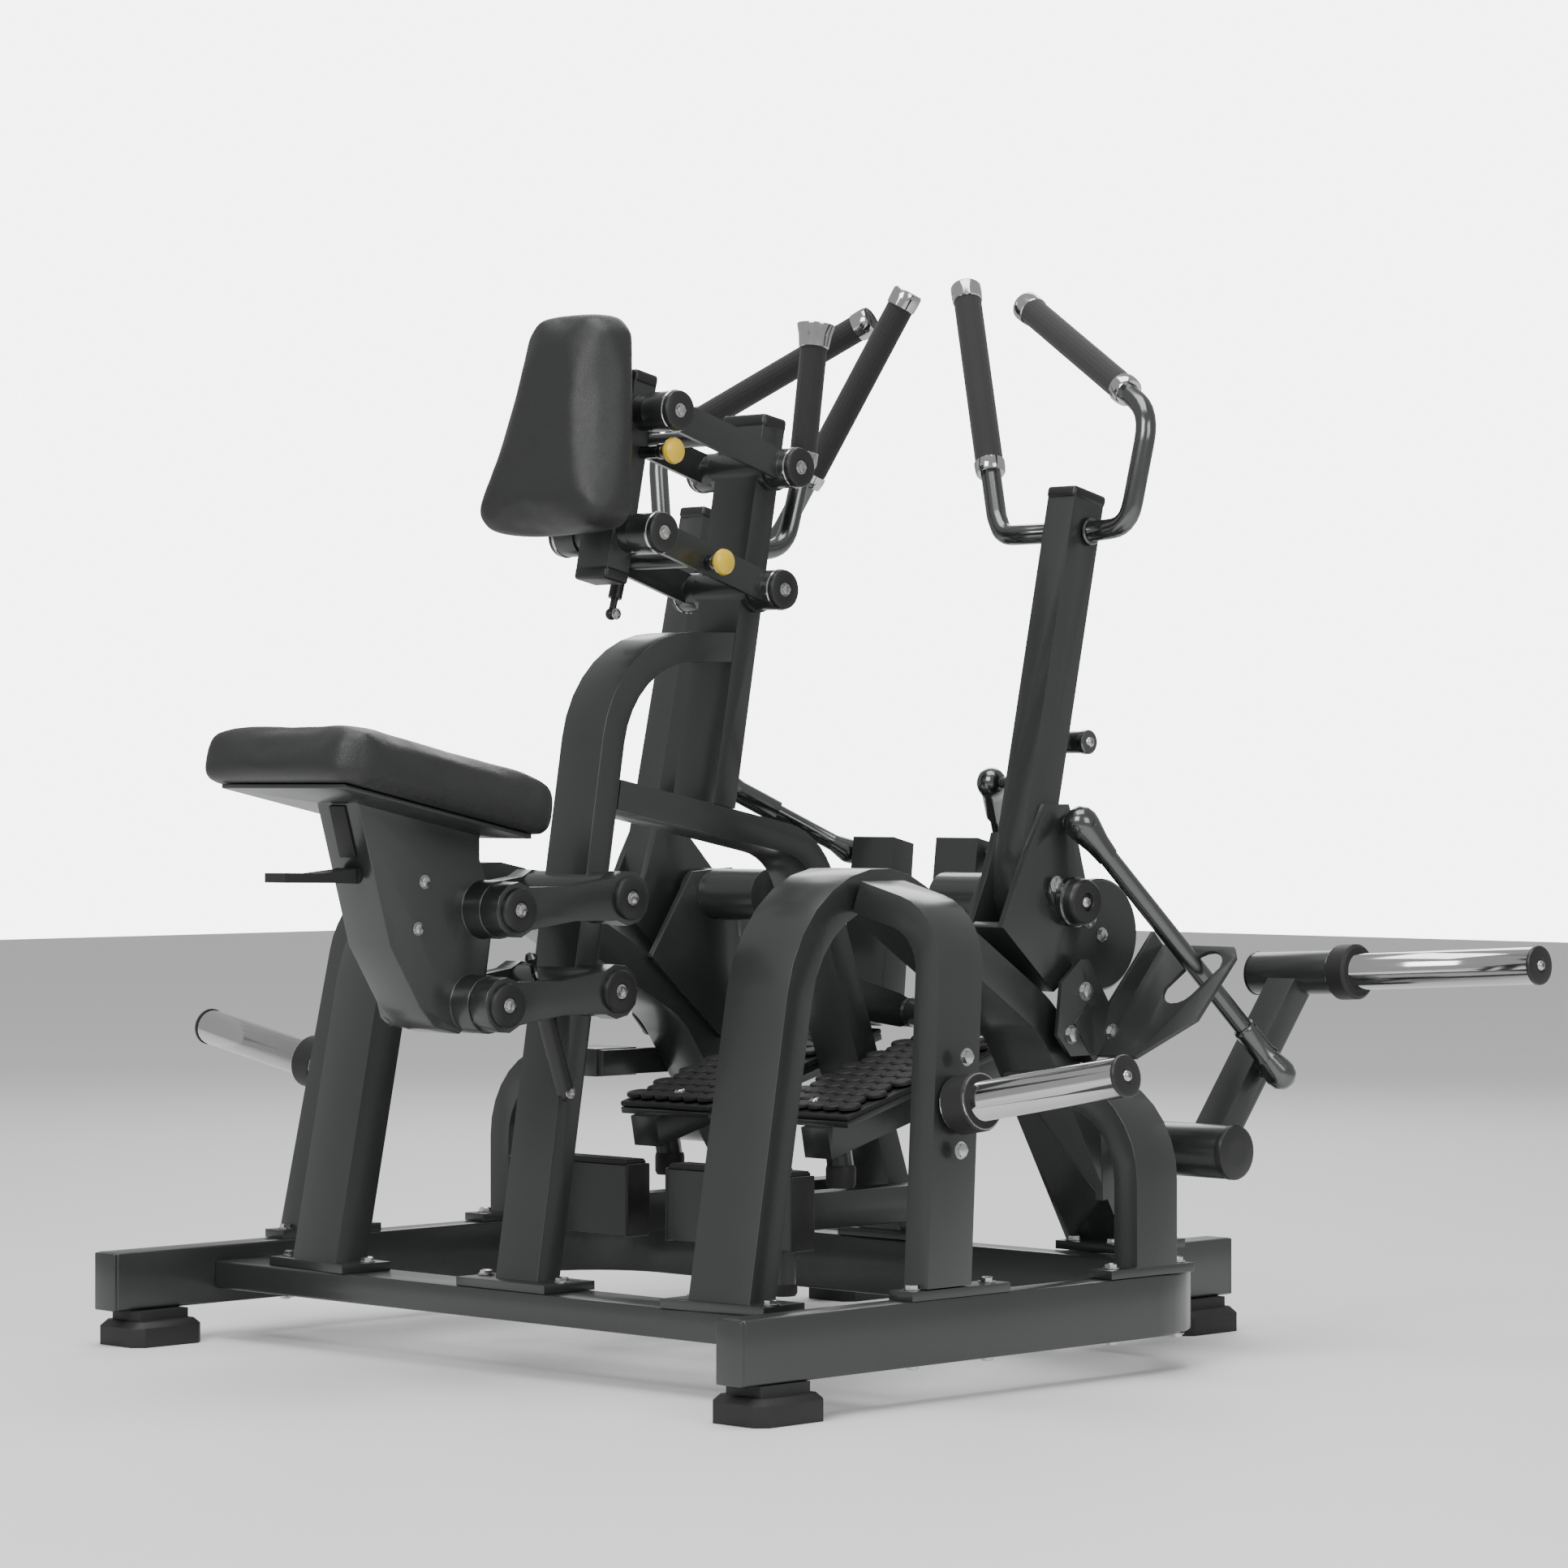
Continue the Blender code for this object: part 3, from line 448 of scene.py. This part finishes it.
weightPivot, crossCentre = (0.4155, 0.2695), (0.6045, 0.5025)
leverPivot = (0.245, 0.607)
pedalBase, pedalRise = 0.3264, 0.2783  # height of the tread at Y = 0, and its rise per metre
lipCentre, lipHalf, lipRadius = (0.0868, 0.1417), 0.022, 0.0290  # the guard's slot, in the plate's own plane
simFrames = 20
for side, k in (("right", 1), ("left", -1)):
    lever, arm, pedal = "lever_body_" + side, "weight_arm_body_" + side, "pedal_body_" + side
    out = Vector((k, 0, 0))

    # lever bearing: flange, black cap and screw
    flange = plateFromOutline([(0.207, 0.6325), (0.2160, 0.6420), (0.262, 0.6330), (0.2880, 0.5960),
                               (0.2900, 0.5810),
                               (0.2790, 0.5720), (0.2280, 0.5780), (0.2030, 0.6180)], k * 0.3912,
                               k * 0.3990, 0.002)
    finishPiece(flange, "bearing_flange_" + side, "framePaint", lever)
    finishPiece(turned(ringProfile(0.010, 0.034, 0.012), at(k * 0.399, *leverPivot), out),
                "bearing_ring_" + side, "gunmetal", lever)
    finishPiece(turned(capProfile(0.0315, 0.018), at(k * 0.411, *leverPivot), out), "bearing_cap_" + side,
                "cap", lever)
    finishPiece(joinPieces([buttonScrew(at(k * 0.4240, *leverPivot), out, 1.2),
                            hexBolt(at(k * 0.399, 0.215, 0.630), out, 1.1),
                            hexBolt(at(k * 0.399, 0.280, 0.583), out, 1.1)]), "bearing_screws_" + side,
                            "zinc", lever)
    # lever top cap, stop peg screw, handle clamp ring
    finishPiece(roundedBlock((0.052, 0.066, 0.016), at(k * 0.3565, 0.3045, 1.1535), -0.224, 0.005),
                "lever_cap_" + side, "cap", lever)
    finishPiece(turned(ringProfile(0.006, 0.0165, 0.012), at(k * 0.3745, 0.298, 0.8215), out),
                "peg_ring_" + side, "gunmetal", lever)
    finishPiece(buttonScrew(at(k * 0.3860, 0.298, 0.8215), out), "peg_screw_" + side, "zinc", lever)
    rings = [turned(ringProfile(0.0138, 0.0185, 0.006), at(k * x, 0.303, 1.106),
                    out) for x in (0.3255 if k > 0 else 0.3315, 0.3815)]
    finishPiece(joinPieces(rings), "handle_rings_" + side, "gunmetal", lever)
    # counterweight disc behind the lever
    disc = [turned([(0, 0), (0.072, 0), (0.0765, 0.003), (0.0765, 0.017), (0.073, 0.020), (0, 0.020)],
                   at(k * 0.340 if k > 0 else -0.360, 0.352, 0.560), (1, 0, 0), steps=64)]
    disc.append(plateFromOutline([(0.225, 0.620), (0.352, 0.578), (0.352, 0.542), (0.235, 0.560)],
                                 k * 0.333, k * 0.3395))
    finishPiece(joinPieces(disc), "lever_disc_" + side, "framePaint", lever)
    finishPiece(hexBolt(at(k * 0.360, 0.352, 0.560), out, 0.9), "disc_bolt_" + side, "zinc", lever)

    # weight arm: hub cap, cross-tube cap, horn collar and end cap
    finishPiece(turned(capProfile(0.0372, 0.011, 0.0), at(k * 0.5360, *weightPivot), out),
                "hub_cap_" + side, "cap", arm)
    finishPiece(turned(capProfile(0.0305, 0.004, 0.0), at(k * 0.4298, *crossCentre), -out),
                "cross_cap_" + side, "cap", arm)
    hornWay = Vector((k * 0.330, 0, 0.018)).normalized()
    hornRoot = at(k * 0.573, crossCentre[0], crossCentre[1] + 0.005)
    hornTip = hornRoot + Vector((k * 0.330, 0, 0.018))
    finishPiece(turned(ringProfile(0.022, 0.0378, 0.034, 0.004), hornRoot - hornWay * 0.001, hornWay),
                "horn_collar_" + side,
                "rubber", arm)
    finishPiece(turned(capProfile(0.0262, 0.006), hornTip - hornWay * 0.0015, hornWay), "horn_cap_" + side,
                "cap", arm)
    finishPiece(buttonScrew(hornTip + hornWay * 0.003, hornWay), "horn_screw_" + side, "zinc", arm)

    # storage horn: collar, end cap and its screw
    rackWay = Vector((k * 0.269, 0.003, 0.0475)).normalized()
    rackRoot, rackTip = at(k * 0.606, -0.203, 0.3645), at(k * 0.875, -0.200, 0.412)
    finishPiece(turned(ringProfile(0.022, 0.0375, 0.042, 0.004), rackRoot - rackWay * 0.001, rackWay),
                "rack_collar_" + side,
                "rubber", "frame")
    finishPiece(turned(capProfile(0.0262, 0.006), rackTip - rackWay * 0.0015, rackWay), "rack_cap_" + side,
                "cap", "frame")
    finishPiece(buttonScrew(rackTip + rackWay * 0.003, rackWay), "rack_screw_" + side, "zinc", "frame")

    # rods: ball housings with tapered necks, and the stepped lower sleeve
    def rodEnd(centre, way, r, length):
        return turned([(0, -r), (r * 0.55, -r * 0.84), (r * 0.88, -r * 0.48), (r, 0), (r * 0.96, r * 0.4),
                       (r * 0.72, length * 0.6),
                       (r * 0.62, length), (0, length)], centre, way)

    top, foot = at(k * 0.417, 0.245, 0.7125), at(k * 0.548, 0.505, 0.3715)
    way = (foot - top).normalized()
    finishPiece(rodEnd(top, way, 0.0235, 0.060), "push_rod_top_" + side, "gunmetal", "push_rod_body_" + side)
    sleeve = turned([(0, 0.085), (0.0150, 0.085), (0.0166, 0.082), (0.0166, 0.078), (0.0160, 0.076),
                     (0.0160, 0.040), (0.0185, 0.032)],
                    foot, -way)
    finishPiece(joinPieces([rodEnd(foot, -way, 0.0215, 0.050), sleeve]), "push_rod_foot_" + side,
                "gunmetal", "push_rod_body_" + side)
    top, foot = at(k * 0.260, 0.240, 0.767), at(k * 0.150, 0.390, 0.668)
    way = (foot - top).normalized()
    finishPiece(joinPieces([rodEnd(top, way, 0.0205, 0.055), rodEnd(foot, -way, 0.0175, 0.040)]),
                "link_rod_ends_" + side, "gunmetal",
                "link_rod_body_" + side)
    finishPiece(hexBolt(at(k * (0.4170 + 0.0225), 0.245, 0.7125), out, 0.4), "rod_plug_" + side, "gunmetal",
                "push_rod_body_" + side)

    # grips: chrome ferrules and flat end caps
    ends = {"inner": (at(k * 0.1725, 0.333, 1.207), at(k * 0.055, 0.412, 1.468)),
            "outer": (at(k * 0.407, 0.344, 1.300), at(k * 0.149, 0.435, 1.436))}
    for which, (low, high) in ends.items():
        way = (high - low).normalized()
        ferrule = [(0.0140, -0.016), (0.0185, -0.016), (0.0205, -0.013), (0.0215, -0.004), (0.0215, 0.003),
                   (0.0197, 0.004)]
        tip = [(0.0197, -0.022), (0.0212, -0.021), (0.0218, -0.010), (0.0218, 0.001), (0.0200, 0.004),
               (0, 0.004)]
        finishPiece(joinPieces([turned(ferrule, low, way), turned(tip, high - way * 0.004, way)]),
                    "grip_ends_%s_%s" % (which, side),
                    "chrome", lever)

    # guard: rubber lip round its slot, and its bolts
    along, across = Vector((0, 0.679, 0.7342)), Vector((k, 0, 0))
    origin = at(k * 0.4072, 0.290, 0.399)
    slotDir, slotSide = (0.435, 0.900), (-0.900, 0.435)
    ring = []
    for i in range(28):
        a = 2 * math.pi * i / 28
        end = lipHalf if math.cos(a) > 0 else -lipHalf
        u = lipCentre[0] + slotDir[0] * (end + lipRadius * math.cos(a)) + slotSide[0] * lipRadius * math.sin(a)
        v = lipCentre[1] + slotDir[1] * (end + lipRadius * math.cos(a)) + slotSide[1] * lipRadius * math.sin(a)
        ring.append(origin + across * u + along * v)
    finishPiece(tubeAlong(ring, 0.0030, closed=True), "guard_lip_" + side, "rubber", "frame")
    guardBolts = [hexBolt(at(k * 0.4100, y, z), out, 1.15) for y,
                  z in ((0.261, 0.487), (0.232, 0.430), (0.316, 0.429))]
    finishPiece(joinPieces(guardBolts), "guard_bolts_" + side, "zinc", "frame")

    # pedal mat: overlapping discs on a rubber sheet, three screws
    slope = math.atan(pedalRise)
    mat = [roundedBlock((0.176, 0.358, 0.008), at(k * 0.132, 0.1725, 0.3675), slope, 0.003)]
    scale = turned([(0, 0.0060), (0.0140, 0.0056), (0.0158, 0.0036), (0.0158, 0.0)], Vector((0, 0, 0)),
                   (0, 0, 1), steps=18)
    for row in range(13):
        for col in range(6):
            x = 0.064 + col * 0.0280 + (0.0140 if row % 2 else 0.0)
            if x > 0.205:
                continue
            y = 0.020 + row * 0.0252
            copy = bpy.data.objects.new("scale", scale.data.copy())
            bpy.context.scene.collection.objects.link(copy)
            copy.matrix_world = (Matrix.Translation(at(k * x, y, pedalBase + pedalRise * y))
                                 @ Matrix.Rotation(slope - 0.09, 4, "X"))
            mat.append(copy)
    bpy.data.objects.remove(scale)
    only(mat[0])
    for ob in mat[1:]:
        only(ob)
        bpy.ops.object.transform_apply(location=True, rotation=True, scale=True)
    tread = finishPiece(joinPieces(mat), "pedal_mat_" + side, "rubber", pedal)
    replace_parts(tread, "pedal_tread_" + side)
    up = Vector((0, -math.sin(slope), math.cos(slope)))
    screws = [buttonScrew(at(k * x, y, pedalBase + pedalRise * y) + up * 0.0035, up, 1.1) for x,
              y in ((0.08, 0.30), (0.185, 0.30), (0.13, 0.03))]
    finishPiece(joinPieces(screws), "pedal_screws_" + side, "zinc", pedal)
    finishPiece(turned([(0.012, 0), (0.0195, 0.001), (0.0205, 0.006), (0.0205, 0.026), (0.018, 0.031),
                        (0, 0.031)],
                       at(k * 0.165, 0.0435, 0.2535), (0, 0, -1)), "pedal_bumper_" + side, "rubber", pedal)

    # foot bar: ribbed top, end caps, bumper foot
    bar = [roundedBlock((0.228, 0.038, 0.006), at(k * 0.155, -0.140, 0.2550), 0, 0.002)]
    for i in range(7):
        bar.append(roundedBlock((0.226, 0.0030, 0.0030), at(k * 0.155, -0.155 + i * 0.005, 0.2585), 0, 0.001))
    finishPiece(joinPieces(bar), "foot_bar_top_" + side, "rubber", "frame")
    finishPiece(joinPieces([roundedBlock((0.005, 0.042, 0.098), at(k * 0.2720, -0.140, 0.2050), 0, 0.002),
                            roundedBlock((0.005, 0.042, 0.098), at(k * 0.0380, -0.140, 0.2050), 0, 0.002)]),
                "foot_bar_caps_" + side, "cap", "frame")
    finishPiece(turned([(0.0165, 0), (0.0200, 0.002), (0.0200, 0.012), (0.0175, 0.016), (0, 0.016)],
                       at(k * 0.235, -0.140, 0.112),
                       (0, 0, -1)), "foot_bar_bumper_" + side, "rubber", "frame")

    # rail ends
    finishPiece(joinPieces([roundedBlock((0.0435, 0.006, 0.0785), at(k * 0.6015, -0.6010, 0.088), 0, 0.002),
                            roundedBlock((0.0435, 0.006, 0.0785), at(k * 0.3255, 0.6440, 0.088), 0, 0.002)]),
                "rail_caps_" + side, "framePaint", "frame")

    # foot plate bolts with their nuts below the rails
    spots = [(0.602, -0.284, 0.1405), (0.602, -0.147, 0.1405), (0.602, 0.092, 0.1405), (0.602, 0.222, 0.1405),
             (0.338 - 0.035, 0.362, 0.1405), (0.338 + 0.035, 0.362, 0.1405), (0.338, 0.476, 0.1405),
             (0.062, 0.316, 0.1405),
             (0.390 - 0.073, -0.385 + 0.006, 0.1195), (0.390 + 0.073, -0.385 - 0.006, 0.1195),
             (0.073, -0.382, 0.1195)]
    bolts = [hexBolt(at(k * x, y, z), (0, 0, 1)) for x, y, z in spots]
    bolts += [hexBolt(at(k * x, y, 0.0478 if z > 0.13 else 0.0685), (0, 0, -1), 0.9) for x, y,
              z in spots[:4] + spots[8:]]
    bolts += [hexBolt(at(k * 0.6195, -0.2155, 0.310), out), hexBolt(at(k * 0.6140, -0.1985, 0.425), out)]
    finishPiece(joinPieces(bolts), "frame_bolts_" + side, "zinc", "frame")
    print("side built:", side)

# links: black end caps and bolts on every pivot
linkSet = {
    "seat_upper": (((-0.292, 0.616), (-0.489, 0.604)), 0.1050, 0.0285),
    "seat_lower": (((-0.312, 0.495), (-0.509, 0.483)), 0.1050, 0.0285),
    "chest_upper": (((0.035, 1.193), (-0.193, 1.258)), 0.0920, 0.0268),
    "chest_lower": (((0.004, 1.027), (-0.222, 1.096)), 0.0920, 0.0268),
}
for body, (pivots, reach, radius) in linkSet.items():
    caps, screws, bands = [], [], []
    for y, z in pivots:
        for k in (1, -1):
            out = (k, 0, 0)
            caps.append(turned(capProfile(radius, 0.0085), at(k * (reach - 0.0005), y, z), out))
            bands.append(turned(ringProfile(radius * 0.6, radius + 0.0012, 0.004, 0.001),
                                at(k * (reach - 0.0045), y, z), out))
            screws.append(hexBolt(at(k * (reach + 0.0055), y, z), out, 0.85))
    finishPiece(joinPieces(caps), body + "_caps", "cap", body)
    finishPiece(joinPieces(bands), body + "_bands", "chrome", body)
    finishPiece(joinPieces(screws), body + "_screws", "zinc", body)

# tube caps on the mast and the chest upright
finishPiece(roundedBlock((0.083, 0.046, 0.020), at(0, 0.0440, 1.2560), -0.1825, 0.006), "mast_cap", "cap",
            "frame")
finishPiece(joinPieces([roundedBlock((0.063, 0.043, 0.018), at(0, -0.1890, 1.3040), -0.2011, 0.005),
                        roundedBlock((0.063, 0.043, 0.018), at(0, -0.2430, 1.0415), -0.2011, 0.005)]),
                        "upright_caps", "cap", "chest_carriage")

# pull-pin knobs
for name, body, place in (("pull_pin_upper", "pull_pin_upper_body", (0.0303, -0.196, 1.205)),
                          ("pull_pin_lower", "pull_pin_lower_body", (0.0783, -0.119, 1.060))):
    x0 = 0.062 if name.endswith("upper") else place[0]
    barrel = turned([(0, 0), (0.0095, 0), (0.0105, 0.002), (0.0105, 0.010), (0.0075, 0.012),
                     (0.0075, 0.016), (0, 0.016)],
                    at(x0, place[1], place[2]), (1, 0, 0))
    knob = turned([(0, 0.013), (0.0075, 0.013), (0.0095, 0.018), (0.0160, 0.022), (0.0178, 0.0265),
                   (0.0165, 0.031), (0.0110, 0.034),
                   (0, 0.035)], at(x0, place[1], place[2]), (1, 0, 0))
    if name.endswith("upper"):
        stem = turned([(0, 0), (0.0085, 0), (0.0085, 0.034), (0, 0.034)], at(place[0], place[1], place[2]),
                      (1, 0, 0))
        barrel = joinPieces([barrel, stem])
    finishPiece(barrel, name + "_barrel", "gunmetal", body)
    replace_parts(finishPiece(knob, name + "_knob", "yellow", body), name)

# seat bracket: rubber strap on its front edge, side bolts
finishPiece(roundedBlock((0.030, 0.0030, 0.068), at(0, -0.6920, 0.7050), 0.267, 0.0012), "bracket_strap",
            "rubber", "seat_carriage")
finishPiece(joinPieces([hexBolt(at(k * 0.0400, y, z), (k, 0, 0), 0.8) for k in (1, -1) for y,
                        z in ((-0.5903, 0.6406), (-0.6012, 0.5811))]),
            "bracket_bolts", "zinc", "seat_carriage")

# steadying handle: ferrule and flared top
low, high = at(0.0, 0.140, 1.220), at(0.0, 0.164, 1.390)
way = (high - low).normalized()
finishPiece(joinPieces([turned([(0.0130, -0.018), (0.0180, -0.018), (0.0200, -0.014), (0.0210, 0.002),
                                (0.0192, 0.003)], low, way),
                        turned([(0.0192, -0.022), (0.0210, -0.021), (0.0230, -0.004), (0.0262, 0.008),
                                (0.0262, 0.011), (0, 0.011)],
                               high, way)]), "steady_ends", "chrome", "frame")

# gas spring ends
for name, low, high in (("seat_spring", at(0.060, -0.364, 0.364), at(0.060, -0.425, 0.540)),
                        ("chest_spring", at(-0.045, -0.182, 0.993), at(-0.045, -0.150, 1.106))):
    way = (high - low).normalized()
    r = 0.0085 if name.startswith("seat") else 0.0065
    ball = [(0, -r), (r * 0.7, -r * 0.7), (r, 0), (r * 0.8, r * 0.7), (r * 0.55, r * 1.2),
            (r * 0.55, r * 2.2)]
    finishPiece(turned(ball, low, way), name + "_foot", "gunmetal", name + "_case_body")
    finishPiece(turned(ball, high, -way), name + "_top", "gunmetal", name + "_rod_body")
    finishPiece(hexBolt(low + Vector((0.009, 0, 0)), (1, 0, 0), 0.7), name + "_nut", "zinc",
                name + "_case_body")
print("caps, knobs and springs built")


# pads: leather blown up by cloth pressure over the shape of each pad's foam
def blowUp(name, nodeName, body, padSet):
    ob = bpy.data.objects.new(name, nodes[nodeName].data.copy())
    bpy.context.scene.collection.objects.link(ob)
    low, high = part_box(nodeName)
    mid = (low + high) / 2
    back = Vector(padSet["back"]).normalized()
    for v in ob.data.vertices:
        offset = v.co - mid
        v.co = mid + offset * padSet["shrink"]
    remesh = ob.modifiers.new("even", "REMESH")
    remesh.mode = "VOXEL"
    remesh.voxel_size = padSet["voxel"]
    smooth = ob.modifiers.new("ease", "SMOOTH")
    smooth.factor = 0.5
    smooth.iterations = padSet["ease"]
    applyAll(ob)
    rest = [v.co.copy() for v in ob.data.vertices]
    held = ob.vertex_groups.new(name="held")
    held.add([v.index for v in ob.data.vertices if v.normal.dot(back) > 0.75], 1.0, "REPLACE")
    cloth = ob.modifiers.new("cloth", "CLOTH")
    cloth.settings.quality = 4
    cloth.settings.use_pressure = True
    cloth.settings.uniform_pressure_force = padSet["pressure"]
    cloth.settings.vertex_group_mass = "held"
    cloth.settings.tension_stiffness = 30
    cloth.settings.compression_stiffness = 30
    cloth.settings.bending_stiffness = 2
    cloth.settings.effector_weights.gravity = 0.0
    cloth.point_cache.frame_start, cloth.point_cache.frame_end = 1, simFrames
    for f in range(1, simFrames + 1):
        bpy.context.scene.frame_set(f)
    applyAll(ob)
    for v, p in zip(ob.data.vertices, rest):
        step = v.co - p
        if step.length > padSet["cap"]:
            v.co = p + step.normalized() * padSet["cap"]
    bpy.context.scene.frame_set(1)
    iron = ob.modifiers.new("iron", "SMOOTH")
    iron.factor = 0.5
    iron.iterations = 24
    applyAll(ob)
    sub = ob.modifiers.new("sub", "SUBSURF")
    sub.levels = sub.render_levels = 1
    finishPiece(ob, name, "leather", body, angle=80)
    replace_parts(ob, nodeName)
    print("pad made:", name, len(ob.data.polygons))
    return ob


blowUp("seat_cushion", "seat_pad", "seat_carriage",
       {"back": (0, -0.203, -0.979), "shrink": 0.985, "voxel": 0.005, "ease": 10, "pressure": 3.0,
        "cap": 0.007, "fill": 0.85})
blowUp("chest_cushion", "chest_pad", "chest_carriage",
       {"back": (0, 1, 0), "shrink": 0.985, "voxel": 0.005, "ease": 10, "pressure": 3.0, "cap": 0.007,
        "fill": 0.85})

# floor
deselectAll()
bpy.ops.mesh.primitive_plane_add(size=30, location=(0, 0, 0))
floor = bpy.context.active_object
floor.name = "floor"
floorMat = bpy.data.materials.new("floorPale")
floorMat.use_nodes = True
floorMat.node_tree.nodes["Principled BSDF"].inputs["Base Color"].default_value = (0.86, 0.86, 0.86, 1)
floorMat.node_tree.nodes["Principled BSDF"].inputs["Roughness"].default_value = 0.6
floor.data.materials.append(floorMat)

print("scene built")
